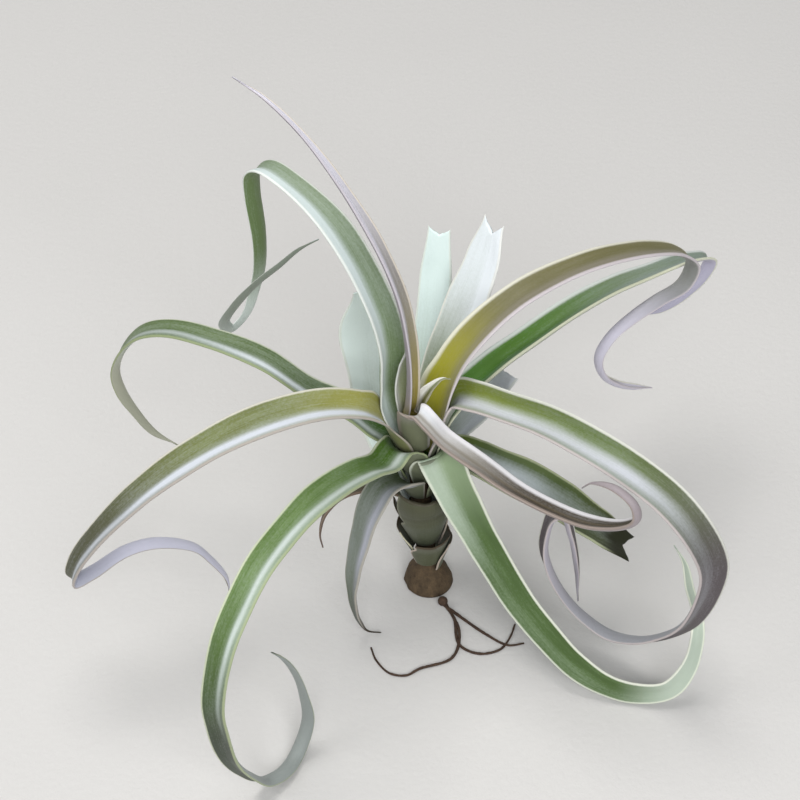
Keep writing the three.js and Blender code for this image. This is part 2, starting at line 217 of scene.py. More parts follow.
# rings closer together where the leaf curls, and a few right at both ends to round them
def ringPlaces(midrib):
    frames, length = midrib["frames"], midrib["length"]
    spent = [one["run"] / detail["ringRun"] + one["turned"] / detail["ringTurn"] for one in frames]
    ends = [run / length for run in detail["endRings"]]
    cuts = evenCuts(spent, detail["along"] - 2 * len(ends))
    places = [(at + part) / (len(spent) - 1) for at, part in cuts[1:-1]]
    lead = [0] + ends
    tail = [1 - end for end in reversed(ends)] + [1]
    return lead + [mix(lead[-1], tail[0], place) for place in places] + tail


# where t lands on a leaf that was trimmed to two uneven horns, notch deep in the middle
def trimEnd(t, sideways, notch, length, seed):
    horns = smoothStep(t, 1 - waver["hornLength"] / length, 1)
    torn = 0.5 + 0.5 * noise.noise(Vector((sideways * 4, 0, 0)) + seed)
    return t - horns * (notch * (1 - abs(sideways)) ** 0.8 + waver["ragged"] * torn) / length


def growLeaf(node, leaf, ending):
    midrib = traceMidrib(leaf)
    frames, length = midrib["frames"], midrib["length"]
    places = ringPlaces(midrib)
    notch = leaf.get("notch", 0)
    endRound = detail["endRings"][-1]
    seed = Vector((sum(ord(letter) for letter in node) * 0.37, 3.1, 7.7))
    bm = bmesh.new()
    bmesh.ops.create_grid(bm, x_segments=len(places) - 1, y_segments=detail["around"], size=1)
    across, face, run, share, ragged = [
        bm.verts.layers.float.new(one) for one in ("across", "face", "run", "share", "ragged")]
    for v in bm.verts:
        t = places[round((v.co.x + 1) / 2 * (len(places) - 1))]
        around = (v.co.y + 1) / 2  # across the top in the first half, back along the underside in the second
        swing, depth = (4 * around - 1, 1) if around < 0.5 else (3 - 4 * around, 0)
        sideways = math.sin(math.pi / 2 * max(-1, min(1, swing)))
        fromEnd = min(t, 1 - t) * length
        plump = math.sqrt(max(0, 1 - (1 - min(1, fromEnd / endRound)) ** 2))
        cut = trimEnd(t, sideways, notch, length, seed) if notch else t
        edge = max(0, abs(sideways) - 0.9) / 0.1
        v[across], v[run], v[share] = sideways, cut * length * mm, t
        v[face] = 0.5 + (depth - 0.5) * math.sqrt(max(0, 1 - edge * edge))
        v[ragged] = (1 - t) * length
        wave = noise.noise(Vector((t * length * waver["perMm"], sideways * 0.7, 0)) + seed)
        lift = wave * waver["height"] * smoothStep(t, 0.15, 0.3)
        upward = frames[int(t * (len(frames) - 1))]["normal"]
        place = (skinPoint(leaf, midrib, cut, sideways, depth, plump) + upward * lift) * mm
        v.co = [min(high, max(low, c)) for c, low, high in zip(place, *cadBox)]  # never past the solids' box
    bmesh.ops.remove_doubles(bm, verts=bm.verts, dist=1e-7)
    bmesh.ops.dissolve_degenerate(bm, edges=bm.edges, dist=1e-7)
    bmesh.ops.holes_fill(bm, edges=[e for e in bm.edges if e.is_boundary], sides=0)
    bmesh.ops.recalc_face_normals(bm, faces=bm.faces)
    return finishPiece(node + ending, bm, [node]), midrib["rise"] / length


def finishPiece(name, bm, nodes):
    mesh = bpy.data.meshes.new(name)
    bm.to_mesh(mesh)
    bm.free()
    for polygon in mesh.polygons:
        polygon.use_smooth = True
    piece = bpy.data.objects.new(name, mesh)
    bpy.context.scene.collection.objects.link(piece)
    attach(piece, "root")
    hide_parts(*nodes)
    return piece


# a shader socket that adds up, multiplies and divides like a number
class Wire:
    def __init__(self, tree, socket=None):
        self.tree = tree
        self.socket = socket

    def node(self, kind, settings, inputs, output=0):
        made = self.tree.nodes.new(kind)
        for key, value in settings.items():
            setattr(made, key, value)
        for key, value in inputs.items():
            if isinstance(value, Wire):
                self.tree.links.new(value.socket, made.inputs[key])
            else:
                made.inputs[key].default_value = value
        return Wire(self.tree, made.outputs[output] if made.outputs else None)

    def math(self, operation, *values):
        return self.node("ShaderNodeMath", {"operation": operation}, dict(enumerate(values)))

    def __add__(self, other):
        return self.math("ADD", self, other)

    def __radd__(self, other):
        return self.math("ADD", other, self)

    def __sub__(self, other):
        return self.math("SUBTRACT", self, other)

    def __rsub__(self, other):
        return self.math("SUBTRACT", other, self)

    def __mul__(self, other):
        return self.math("MULTIPLY", self, other)

    def __rmul__(self, other):
        return self.math("MULTIPLY", other, self)

    def __truediv__(self, other):
        return self.math("DIVIDE", self, other)

    def __rtruediv__(self, other):
        return self.math("DIVIDE", other, self)

    def __abs__(self):
        return self.math("ABSOLUTE", self)

    def step(self, low, high):
        return self.node("ShaderNodeMapRange", {"interpolation_type": "SMOOTHSTEP"},
                         {0: self, 1: low, 2: high, 3: 0.0, 4: 1.0})

    def clamp(self):
        return self.node("ShaderNodeClamp", {}, {0: self, 1: 0.0, 2: 1.0})

    def tint(self, under, over):
        under, over = [c if isinstance(c, Wire) else (*c, 1) for c in (under, over)]
        return self.node("ShaderNodeMix", {"data_type": "RGBA"}, {0: self, 6: under, 7: over}, 2)

    def vector(self, x, y, z):
        return self.node("ShaderNodeCombineXYZ", {}, {0: x, 1: y, 2: z})

    def noise(self, place, scale, detailed=3.0, rough=0.55):
        return self.node("ShaderNodeTexNoise", {},
                         {"Vector": place, "Scale": scale, "Detail": detailed, "Roughness": rough})

    def attribute(self, name):
        return self.node("ShaderNodeAttribute", {"attribute_name": name}, {}, 2)

    def objectPlace(self):
        return self.node("ShaderNodeTexCoord", {}, {}, 3)


def paint(hexCode):
    parts = [int(hexCode[i:i + 2], 16) / 255 for i in (0, 2, 4)]
    return tuple(p / 12.92 if p <= 0.04045 else ((p + 0.055) / 1.055) ** 2.4 for p in parts)


def startMaterial(name):
    material = bpy.data.materials.new(name)
    material.use_nodes = True
    material.node_tree.nodes.clear()
    return material, Wire(material.node_tree)


def endMaterial(bench, colour, roughness, height, bumpDepth, fixed):
    bump = bench.node("ShaderNodeBump", {}, {"Strength": 1.0, "Distance": bumpDepth, "Height": height})
    shader = bench.node("ShaderNodeBsdfPrincipled", {},
                        {"Base Color": colour, "Roughness": roughness, "Normal": bump, **fixed})
    bench.node("ShaderNodeOutputMaterial", {}, {"Surface": shader})


# near is +1 or -1: the margin that silver lies along; a wash is how thickly the scales cover a half, the tip
# or the underside, the near half's wash and the streak being partly painted sheen where light grazes the near
# wall;
# the fade takes silver off towards the end as painted shade, and what ends in From or To is a share of the
# leaf's length
leafLook = {
    "near": 1, "base": "8f9c4c", "green": "7b9a55", "deep": "5f8040", "tip": "8a9872", "silver": "c3c9c8",
    "under": "b9bac4", "underEnd": "b9bac4", "sheath": "6d725c", "edge": "d6d2b4", "nearEdge": "cbbcae",
    "farWash": 0.08, "nearWash": 0.7, "tipWash": 0.0, "underWash": 0.8, "underFrom": -0.2, "underFade": 0.0,
    "scalesAndSheenStreak": 0.55, "scalesAndSheenStreakWidth": 0.3, "scalesAndSheenStreakStrength": 0.25, "silverFrom": -1.0,
    "shadeFade": 0.0, "shadeFadeFrom": 0.3, "shadeFadeTo": 0.6, "baseShare": 0.2, "tipFrom": 0.5, "tipTo": 1.0,
    "edgeWidth": 0.065, "groove": 0.0, "grooveColour": "7d7460", "dryTip": 0.0, "dry": "40372c",
}


# green in soft patches, paler or yellower towards the sheath, and changing to the tip colour towards the tip:
# browner on some leaves, greener with age, and on many darker as painted shade where the ends turn away from
# the light
def leafGreen(look, share, patches, sheathShare):
    green = (patches * 1.6 - 0.3).clamp().tint(paint(look["deep"]), paint(look["green"]))
    green = share.step(sheathShare, sheathShare + look["baseShare"]).tint(paint(look["base"]), green)
    return share.step(look["tipFrom"], look["tipTo"]).tint(green, paint(look["tip"]))


# silver on top, partly scales and partly painted sheen: a soft wash over the half towards the near margin,
# thickest in a streak, and less of it towards the end as painted shade
def silverAndSheenCover(look, share, wavy, drift, scalesAndSheenStreak):
    wash = wavy.step(-0.15, 0.6) * (look["nearWash"] - look["farWash"]) + look["farWash"]
    silverAndSheen = wash + scalesAndSheenStreak * (0.45 + drift * 1.1) * look["scalesAndSheenStreakStrength"]
    # painted shade: the fade takes silver off towards the leaf's end, where it turns away from the light
    silverAndSheen = silverAndSheen * (1 - share.step(look["shadeFadeFrom"], look["shadeFadeTo"]) * look["shadeFade"])
    silverAndSheen = silverAndSheen * share.step(look["silverFrom"], look["silverFrom"] + 0.3)
    return silverAndSheen + share.step(0.35, 0.8) * look["tipWash"]


# the underside greys with scales away from the sheath; the darker sheath colour near the stem is partly
# painted shade at the crown
def undersideColour(look, share, green, uneven, sheathShare):
    grey = share.step(look["underFrom"] - 0.1, look["underFrom"] + 0.05) * look["underWash"]
    below = (uneven * 0.8 + grey).clamp().tint(green, paint(look["under"]))
    below = (share.step(0.62, 0.8) * look["underFade"]).tint(below, paint(look["underEnd"]))
    return share.step(sheathShare * 0.8, sheathShare + 0.06).tint(paint(look["sheath"]), below)


def leafMaterial(name, changes, sheathShare):
    look = {**leafLook, **changes}
    material, bench = startMaterial(name)
    across, face, run, share = [bench.attribute(one) for one in ("across", "face", "run", "share")]
    near = across * look["near"]
    patches = bench.noise(bench.vector(run * 40, across * 1.6, face * 3), 1.0, 3.0)  # about 25 mm long
    drift = bench.noise(bench.vector(run * 22, near * 0.4, face * 7), 1.0, 2.0)  # how the streak wanders
    lines = bench.noise(bench.vector(run * 30, across * 14, face * 3), 1.0, 3.0)  # along the leaf
    grain = bench.noise(bench.vector(run * 900, across * 7, face * 5), 1.0, 2.0, 0.7)  # fuzz of about 1 mm
    uneven = (lines - 0.5) * 0.28 + (grain - 0.5) * 0.28 + (patches - 0.5) * 0.3

    green = leafGreen(look, share, patches, sheathShare)
    wavy = near + (drift - 0.5) * 0.35
    # the streak is a painted sheen highlight laid over the scales' silver
    scalesAndSheenStreak = 1 - (abs(wavy - look["scalesAndSheenStreak"]) / look["scalesAndSheenStreakWidth"]).step(0.1, 1.0)
    silverAndSheen = silverAndSheenCover(look, share, wavy, drift, scalesAndSheenStreak)
    colour = (silverAndSheen + uneven).clamp().tint(green, paint(look["silver"]))
    if look["groove"]:
        groove = 1 - (abs(across + (drift - 0.5) * 0.2) / 0.3).step(0.1, 1.0)
        shade = (groove * (lines + 0.3) * look["groove"]).clamp()
        colour = shade.tint(colour, paint(look["grooveColour"]))
    colour = face.step(0.35, 0.65).tint(undersideColour(look, share, green, uneven, sheathShare), colour)

    # the pale margins, then the dried end of a trimmed or withered leaf
    margin = near.step(-0.4, 0.4).tint(paint(look["edge"]), paint(look["nearEdge"]))
    rim = (abs(across) + (grain - 0.5) * 0.03).step(1 - 2 * look["edgeWidth"], 1 - look["edgeWidth"] * 0.5)
    colour = (rim * 0.85).tint(colour, margin)
    if look["dryTip"]:
        fromTip = bench.attribute("ragged") + (patches - 0.5) * look["dryTip"]
        dry = 1 - fromTip.step(look["dryTip"] * 0.4, look["dryTip"])
        colour = dry.tint(colour, paint(look["dry"]))

    rough = 0.42 + lines * 0.15 + scalesAndSheenStreak * 0.05
    height = lines * 0.35 + grain * 0.25 + patches * 0.2
    endMaterial(bench, colour, rough, height, 0.0003,
                {"Sheen Weight": 0.05, "Sheen Roughness": 0.4, "Specular IOR Level": 0.3})
    return material


def dressLeaf(node, leaf, ending):
    piece, sheathShare = growLeaf(node, leaf, ending)
    piece.data.materials.append(leafMaterial(node + "Skin", leaf["look"], sheathShare))


# the leaves, roughly from the crown down; a path point is its reach, its height and how far left it lies
leaves = {
    "leaf_spike": {
        "slot": "leaf_mauve", "heading": 145, "rank": -1.6, "rise": 8, "rootRadius": 2.6, "flare": 0.05,
        "clasp": 1.9, "rim": 1.8,
        "path": [(1, 93), (0, 108), (1, 124), (5, 143), (14, 161), (28, 179), (44, 194), (59, 202),
                 (72, 205)],
        "width": [11, 10, 9, 8, 6, 4, 2], "roll": [210, 200, 170, 160, 170, 180, 180],
        "look": {"near": -1, "base": "96883c", "green": "8e8a80", "deep": "807c78", "tip": "8c8a92",
                 "silver": "dcdae4", "under": "8f8890", "sheath": "8c8450", "edge": "d8cfc0",
                 "nearEdge": "cfc9cf", "farWash": 0.0, "nearWash": 0.75, "tipWash": 0.7, "underWash": 0.9,
                 "underFrom": 0.1, "scalesAndSheenStreak": 0.75, "scalesAndSheenStreakWidth": 0.2, "baseShare": 0.42},
    },
    "leaf_heart": {
        "slot": "leaf_olive", "heading": 115, "rank": -1, "rise": 12, "rootRadius": 4.5, "flare": 0.05,
        "clasp": 1.3, "rim": 1.2, "wall": 0.8,
        "path": [(6, 99), (6, 108), (5, 119)],
        "width": [14, 13, 9, 2], "roll": [170, 160, 140, 130],
        "look": {"near": -1, "base": "8f9448", "green": "8f9c62", "deep": "7c884e", "silver": "d8dccc",
                 "under": "b4b6a4", "sheath": "8f9070", "edge": "dfe0dc", "nearEdge": "dfe0dc",
                 "farWash": 0.25, "nearWash": 0.4, "underWash": 0.7, "scalesAndSheenStreakStrength": 0.0,
                 "edgeWidth": 0.36},
    },
    "leaf_heart_small": {
        "slot": "leaf_silver", "heading": 15, "root": 30, "rank": -1.3, "rise": 12, "rootRadius": 3.5,
        "flare": 0.05, "clasp": 1, "rim": 0.9, "growth": 12, "wall": 0.8,
        "path": [(5, 99), (8, 103), (11, 105), (14, 104)],
        "width": [8, 8, 6, 3], "roll": [170, 170, 160, 150],
        "look": {"near": -1, "base": "66642c", "green": "7c7c48", "deep": "6c6a38", "silver": "f0efe6",
                 "under": "e0ded6", "sheath": "b4b094", "edge": "8e8c70", "nearEdge": "f0eee6",
                 "farWash": 0.0, "nearWash": 1.0, "edgeWidth": 0.09},
    },
    "leaf_upper_left": {
        "slot": "leaf_green", "heading": 136, "rank": 0,
        "path": [(11, 103), (11, 116), (15, 129), (28, 147), (40, 156), (57, 161), (70, 161), (76, 156),
                 (77, 146), (75, 128), (76, 112), (80, 98), (85, 84, 1), (89, 77, 5), (87, 84, 10),
                 (76, 103, 12), (65, 119, 12), (55, 132, 10), (46, 144, 8), (38, 152, 6)],
        "width": [17, 16, 14, 11, 9, 8, 7, 6, 5, 3],
        "roll": [140, 120, 90, 90, 110, 120, 140, 160, 170, 180],
        "look": {"near": -1, "base": "6a8248", "green": "738460", "deep": "62744e", "tip": "62754a",
                 "silver": "d4e0de", "under": "dfe9e6", "underEnd": "7c8478", "edge": "dfe3da",
                 "nearEdge": "e8ece6", "farWash": 0.15, "nearWash": 0.95, "underFrom": 0.62,
                 "underFade": 1.0, "tipFrom": 0.32, "tipTo": 0.45},
    },
    "leaf_narrow_front": {
        "slot": "leaf_silver", "heading": 324, "root": 275, "rank": -0.4, "rise": 17, "rootRadius": 5.6,
        "flare": 0.08, "clasp": 1.13, "rim": 1, "growth": 12, "twist": [0, 49, 49, 49, 49, 49, 49, 49],
        "path": [(6, 98, -5), (10, 96, -5), (16, 89, -3), (30, 82), (44, 79), (60, 79), (75, 82), (87, 89),
                 (92, 96), (90, 102), (82, 105), (74, 102), (70, 97)],
        "width": [13, 12, 12, 11, 10, 8, 5, 2], "roll": [150, 130, 140, 150, 150, 160, 170, 180],
        "look": {"near": -1, "base": "c4c0b8", "green": "42382a", "deep": "3c3424", "tip": "4c4638",
                 "silver": "dadce0", "under": "a89ea2", "sheath": "74785f", "edge": "9c8e84",
                 "nearEdge": "e4e2e4", "farWash": 0.2, "nearWash": 0.95, "scalesAndSheenStreakStrength": 0.1,
                 "shadeFade": 0.95, "shadeFadeFrom": 0.1, "shadeFadeTo": 0.35, "baseShare": 0.38, "edgeWidth": 0.2,
                 "groove": 0.55, "grooveColour": "6a604c"},
    },
    "leaf_upper_right_olive": {
        "slot": "leaf_olive", "heading": 33, "rank": 1, "rim": 0.8,
        "path": [(14, 100), (20, 110), (30, 118), (44, 124), (60, 126), (76, 125), (91, 122), (105, 117),
                 (117, 110), (124, 101), (121, 93), (110, 91), (98, 88), (88, 83), (83, 75), (86, 64),
                 (96, 53), (112, 43)],
        "width": [19, 16, 14, 13, 12, 10, 8, 7, 7, 5],
        "roll": [120, 100, 90, 90, 80, 90, 120, 150, 170, 180],
        "look": {"near": 1, "base": "aaa62a", "green": "736f49", "deep": "66633f", "tip": "dcd8e4",
                 "silver": "9a938c", "under": "8e9090", "underEnd": "d4d0de", "sheath": "8a8c40",
                 "edge": "e4e2d2", "nearEdge": "d0c8cc", "farWash": 0.05, "nearWash": 0.4, "underFade": 1.0,
                 "scalesAndSheenStreakStrength": 0.05, "tipFrom": 0.86, "tipTo": 0.95, "edgeWidth": 0.13},
    },
    "leaf_left_front": {
        "slot": "leaf_olive", "heading": 200, "root": 195, "rank": 1, "rise": 21, "rim": 0.7,
        "path": [(17, 99), (31, 105), (48, 106), (65, 103), (84, 95), (101, 84), (115, 71), (124, 59),
                 (126, 52), (119, 54), (107, 60), (96, 60), (83, 53), (77, 43), (72, 31), (71, 22)],
        "width": [16, 16, 16, 15, 13, 11, 10, 9, 8, 5],
        "roll": [110, 90, 80, 80, 80, 90, 120, 150, 170, 180],
        "look": {"near": -1, "base": "a09e50", "green": "727c42", "deep": "63693a", "tip": "4c4d38",
                 "silver": "d4d9e1", "under": "b6b8c6", "underEnd": "d2d1e0", "sheath": "84865a",
                 "edge": "dcd8cc", "nearEdge": "aaa198", "farWash": 0.05, "nearWash": 0.45,
                 "underFade": 0.8, "scalesAndSheenStreakWidth": 0.4, "scalesAndSheenStreakStrength": 0.65, "shadeFade": 0.4,
                 "shadeFadeFrom": 0.42, "tipFrom": 0.35, "tipTo": 0.6},
    },
    "leaf_ring": {
        "slot": "leaf_green", "heading": 345, "root": 8, "rank": 2, "clasp": 1.15, "rim": 0.8,
        "path": [(14, 95, 8), (22, 99, 5), (34, 101, 1), (49, 103, -4), (64, 103, -10), (79, 100, -15),
                 (94, 93, -19), (105, 84, -23), (112, 70, -24), (112, 56, -24), (107, 36, -23),
                 (100, 26, -22), (91, 19, -21), (80, 15, -18), (70, 19, -16), (63, 24, -14), (57, 33, -13),
                 (53, 46, -13), (53, 57, -13), (55, 67, -13), (58, 68, -12), (61, 58, -11), (63, 45, -9),
                 (64, 27, -4), (65, 11, -3)],
        "width": [17, 18, 17, 15, 14, 13, 12, 11, 9, 7, 4],
        "roll": [140, 180, 150, 110, 90, 90, 100, 120, 150, 170, 180],
        "look": {"near": 1, "base": "7c8834", "green": "6c7e4a", "deep": "5c6c3c", "tip": "554e50",
                 "silver": "c2c5cb", "under": "a7a9ae", "underEnd": "b8b2bc", "edge": "dcdcd2",
                 "nearEdge": "c0b6b4", "farWash": 0.05, "nearWash": 0.45, "underFade": 0.8, "scalesAndSheenStreak": 0.3,
                 "scalesAndSheenStreakWidth": 0.65, "scalesAndSheenStreakStrength": 0.6, "shadeFade": 0.8, "shadeFadeFrom": 0.27, "shadeFadeTo": 0.42,
                 "tipFrom": 0.25, "tipTo": 0.45},
    },
    "leaf_upper_right_green": {
        "slot": "leaf_green", "heading": 38, "rank": 3,
        "path": [(18, 85), (27, 89), (39, 93), (53, 95), (73, 98), (94, 98), (113, 95), (134, 91),
                 (146, 84), (142, 77), (132, 73), (121, 72), (112, 74)],
        "width": [18, 16, 16, 15, 13, 11, 9, 7, 4], "roll": [120, 150, 170, 160, 140, 120, 140, 160, 180],
        "look": {"near": 1, "base": "3f7610", "green": "527a2c", "deep": "43661f", "tip": "6a7a58",
                 "silver": "b2bec6", "under": "a6a89c", "underEnd": "b2aec2", "sheath": "5a6b42",
                 "edge": "d4d8d4", "nearEdge": "dadcc2", "farWash": 0.0, "nearWash": 0.12, "tipWash": 0.3,
                 "underFade": 0.9, "scalesAndSheenStreakStrength": 0.05, "tipFrom": 0.3, "tipTo": 0.6, "edgeWidth": 0.13},
    },
    "leaf_lower_left": {
        "slot": "leaf_green", "heading": 241, "root": 235, "rank": 3, "rim": 0.9,
        "path": [(20, 83), (33, 92), (53, 103), (70, 109), (87, 111), (101, 110), (113, 104), (122, 96),
                 (130, 76), (129, 59), (125, 39), (117, 20, 1), (108, 6, 2), (100, 3, 4), (92, 3, 4),
                 (84, 12, 4), (84, 28, 3), (87, 43, 2), (92, 56, 1), (97, 64)],
        "width": [16, 15, 14, 12, 11, 10, 10, 10, 9, 8, 6, 4],
        "roll": [110, 90, 80, 80, 80, 90, 100, 120, 150, 160, 170, 180],
        # the dark base, the dark tip and the dark near margin are partly painted shade
        "look": {"near": -1, "base": "4a6a22", "green": "64803f", "deep": "506a32", "tip": "323c2a",
                 "silver": "c8d2cc", "under": "b4bab8", "underEnd": "868c88", "edge": "d2d8bc",
                 "nearEdge": "a3ad86", "farWash": 0.05, "nearWash": 0.4, "underFade": 0.8, "scalesAndSheenStreak": 0.5,
                 "scalesAndSheenStreakWidth": 0.34, "scalesAndSheenStreakStrength": 0.55, "shadeFade": 0.95, "shadeFadeFrom": 0.4,
                 "tipFrom": 0.35, "tipTo": 0.6},
    },
    "leaf_cupped": {
        "slot": "leaf_silver", "heading": 347, "root": 8, "rank": 6.1, "rise": 15, "rim": 0.85, "notch": 4,
        "path": [(15, 68, 6), (22, 68, 4), (34, 66, 1), (49, 60), (65, 50), (82, 38)],
        "width": [19, 21, 24, 23, 19, 13], "roll": [120, 100, 100, 100, 80, 60],
        "look": {"near": 1, "base": "5f7030", "green": "566638", "deep": "44542c", "tip": "3a4022",
                 "silver": "bcc4c8", "under": "7d8768", "edge": "aeb492", "nearEdge": "aeb492",
                 "farWash": -0.1, "nearWash": 0.1, "underWash": 0.5, "scalesAndSheenStreak": -0.2, "scalesAndSheenStreakWidth": 0.75,
                 "scalesAndSheenStreakStrength": 1.0, "shadeFade": 0.7, "shadeFadeFrom": 0.45, "shadeFadeTo": 0.75, "edgeWidth": 0.05,
                 "dryTip": 16.0, "dry": "20220f"},
    },
    "leaf_left": {
        "slot": "leaf_green", "heading": 164, "rank": 4, "clasp": 0.9,
        "path": [(15, 81), (22, 86), (38, 92), (54, 102), (72, 107), (88, 108), (99, 104), (107, 95),
                 (112, 82), (111, 72), (107, 63), (100, 53), (90, 48)],
        "width": [18, 14, 12, 12, 11, 10, 9, 8, 6, 3], "roll": [120, 90, 80, 70, 70, 70, 90, 130, 160, 170],
        "look": {"near": -1, "base": "3a5a1c", "green": "5c7040", "deep": "4c5f34", "tip": "747f62",
                 "silver": "d8dfe2", "under": "b9c0b6", "underEnd": "a3a492", "edge": "d6dac4",
                 "nearEdge": "8f9a70", "nearWash": 0.3, "underFade": 1.0, "scalesAndSheenStreak": 0.5,
                 "scalesAndSheenStreakWidth": 0.42, "scalesAndSheenStreakStrength": 0.75, "silverFrom": -0.05, "shadeFade": 0.55,
                 "shadeFadeFrom": 0.38, "shadeFadeTo": 0.55},
    },
    "leaf_front_right": {
        "slot": "leaf_green", "heading": 320, "rank": 4, "rim": 0.85,
        "path": [(15, 78, -1), (21, 70, -2), (29, 56, -1), (40, 40), (52, 27), (65, 18), (77, 12),
                 (88, 7, 3), (98, 5, 8), (108, 8, 15), (111, 16, 22), (109, 24, 29), (105, 30, 34),
                 (98, 34, 39), (91, 38, 45), (85, 43, 46)],
        "width": [20, 17, 15, 14, 13, 12, 10, 9, 7, 5, 3],
        "roll": [110, 90, 90, 90, 80, 80, 90, 110, 130, 150, 170],
        "look": {"near": 1, "base": "93a683", "green": "566f3c", "deep": "445a2e", "tip": "b4c0b0",
                 "silver": "b8c7b4", "under": "b9c6bc", "edge": "e6e8d8", "nearEdge": "dde2d0",
                 "farWash": -0.05, "nearWash": 0.8, "scalesAndSheenStreakStrength": 0.0, "shadeFade": 0.9, "shadeFadeFrom": 0.15,
                 "shadeFadeTo": 0.36, "tipFrom": 0.62, "tipTo": 0.74},
    },
    "leaf_trimmed_right": {
        "slot": "leaf_silver", "heading": 61, "rank": 5.1, "notch": 5,
        "path": [(15, 75, 2), (26, 83, 5), (34, 96, 3), (42, 110), (49, 124, -2), (56, 140, -3)],
        "width": [18, 14, 18, 21, 18, 11], "roll": [110, 80, 70, 60, 60, 60],
        "look": {"near": 1, "base": "76805c", "green": "a3ad98", "deep": "8f9a84", "tip": "c4ccc8",
                 "silver": "f0f6fa", "under": "bac2c4", "edge": "e6e6dc", "nearEdge": "e6e6e0",
                 "farWash": 0.1, "nearWash": 0.65, "tipWash": 0.6, "baseShare": 0.55},
    },
    "leaf_dry_tip": {
        "slot": "leaf_silver", "heading": 235, "rank": 6.1, "rise": 12, "clasp": 0.9, "rim": 0.9,
        "path": [(17, 67), (26, 62), (31, 52), (35, 42), (37, 31), (36, 19), (33, 8), (31, 2, 2),
                 (28, 1, 6)],
        "width": [19, 14, 11, 9, 6, 4, 2], "roll": [110, 80, 80, 90, 110, 140, 160],
        "look": {"near": -1, "base": "3c4a26", "green": "6a7362", "deep": "55604a", "tip": "5a5c58",
                 "silver": "b0b2bc", "under": "b4b4bc", "underEnd": "6a655a", "edge": "94968a",
                 "nearEdge": "a9a498", "farWash": 0.2, "nearWash": 0.75, "underFade": 0.9,
                 "silverFrom": 0.05, "shadeFade": 0.9, "shadeFadeFrom": 0.45, "shadeFadeTo": 0.75, "baseShare": 0.28,
                 "dryTip": 14.0, "dry": "40372c"},
    },
    "leaf_trimmed_left": {
        "slot": "leaf_silver", "heading": 86, "rank": 7.1, "rise": 15, "notch": 3,
        "path": [(14, 67, -1), (28, 72, -3), (45, 84, -4), (55, 103, -5), (61, 126, -6)],
        "width": [17, 14, 14, 13, 9], "roll": [110, 80, 70, 60, 60],
        # the olive base, carried up over the lower half, is partly painted shade from the leaf beside it
        "look": {"base": "7e8858", "green": "acbea8", "deep": "96aa8e", "tip": "bccfc4", "silver": "e8f8f4",
                 "under": "bcc8c2", "edge": "e6ece2", "nearEdge": "e6ece2", "farWash": 0.5,
                 "nearWash": 0.65, "tipWash": 0.5, "baseShare": 0.55},
    },
    "leaf_pale_back": {
        "slot": "leaf_silver", "heading": 121, "rank": 8.1, "rise": 14,
        "path": [(16, 60), (26, 65), (34, 79, -1), (37, 97, -1), (38, 119)],
        "width": [18, 13, 14, 18, 12], "roll": [100, 70, 60, 60, 70],
        "look": {"near": -1, "base": "9fae92", "green": "b8c7b2", "deep": "a2b39c", "tip": "c4d2ca",
                 "silver": "eefaf6", "under": "b4c0ba", "edge": "dfe4da", "nearEdge": "dfe4da",
                 "farWash": 0.7, "nearWash": 0.95, "tipWash": 0.3},
    },
    "leaf_pale_side": {
        "slot": "leaf_silver", "heading": 36, "root": 48, "rank": 9.15, "rise": 15, "rim": 0.8, "notch": 3,
        "path": [(15, 58, 4), (24, 67, 3), (34, 80, 1), (43, 91)],
        "width": [13, 14, 20, 20], "roll": [100, 80, 70, 60],
        # the dark green base and sheath over the lower half are painted shade
        "look": {"base": "44552c", "green": "a9b3a4", "deep": "949f8c", "tip": "b4bcb8", "silver": "d6dae2",
                 "under": "b0b6b4", "sheath": "44522f", "edge": "d8dad6", "nearEdge": "d8dad6",
                 "farWash": 0.3, "tipWash": 0.3, "scalesAndSheenStreakStrength": 0.1, "baseShare": 0.5},
    },
    "old_leaf_base": {
        "slot": "leaf_silver", "heading": 278, "rank": 13, "notch": 2,
        "path": [(12, 50, 3), (13, 61, 3)],
        "width": [27, 25, 22], "roll": [150, 130, 110],
        "look": {"near": -1, "base": "54583f", "green": "4e5240", "deep": "43462f", "tip": "54563f",
                 "silver": "8a8e7c", "under": "4a4c38", "sheath": "525744", "edge": "7c7e66",
                 "nearEdge": "7c7e66", "nearWash": 0.3, "underWash": 0.45, "scalesAndSheenStreakStrength": 0.1,
                 "dryTip": 0.8, "dry": "4a4636"},
    },
    "dried_leaf_end": {
        "slot": "leaf_dry", "heading": 185, "rank": 9.1, "rise": 12, "clasp": 0.95,
        "path": [(16, 54), (24, 51), (31, 42), (34, 30), (33, 22)],
        "width": [12, 8, 5, 3, 2], "roll": [120, 120, 120, 140, 150],
        "look": {"near": -1, "base": "5f6346", "green": "646048", "deep": "54463a", "tip": "6f5c52",
                 "silver": "8c7d72", "under": "6c5d52", "sheath": "5c5640", "edge": "84705f",
                 "nearEdge": "84705f", "farWash": 0.0, "nearWash": 0.1, "underWash": 0.4,
                 "scalesAndSheenStreakStrength": 0.1},
    },
}

for name, leaf in leaves.items():
    dressLeaf(name, leaf, "_blade")
print("leaves grown:", len(leaves))

# old leaf bases as short cups: how far round each sits, and its rank down the stem
cups = {
    "places": [(340, 10.2), (98, 11), (215, 12), (60, 14), (165, 15), (295, 16), (20, 17)],
    "rise": 14, "lip": 3, "spread": 0.8, "widths": (2.4, 1.2), "roll": [135, 70], "notch": 1.5,
    "look": {"base": "5e6250", "green": "5c5d49", "deep": "484636", "tip": "54503f", "silver": "8c9284",
             "under": "747a6a", "sheath": "52563f", "nearWash": 0.3, "underWash": 0.35,
             "dryTip": 1.6, "dry": "4f4434"},
}


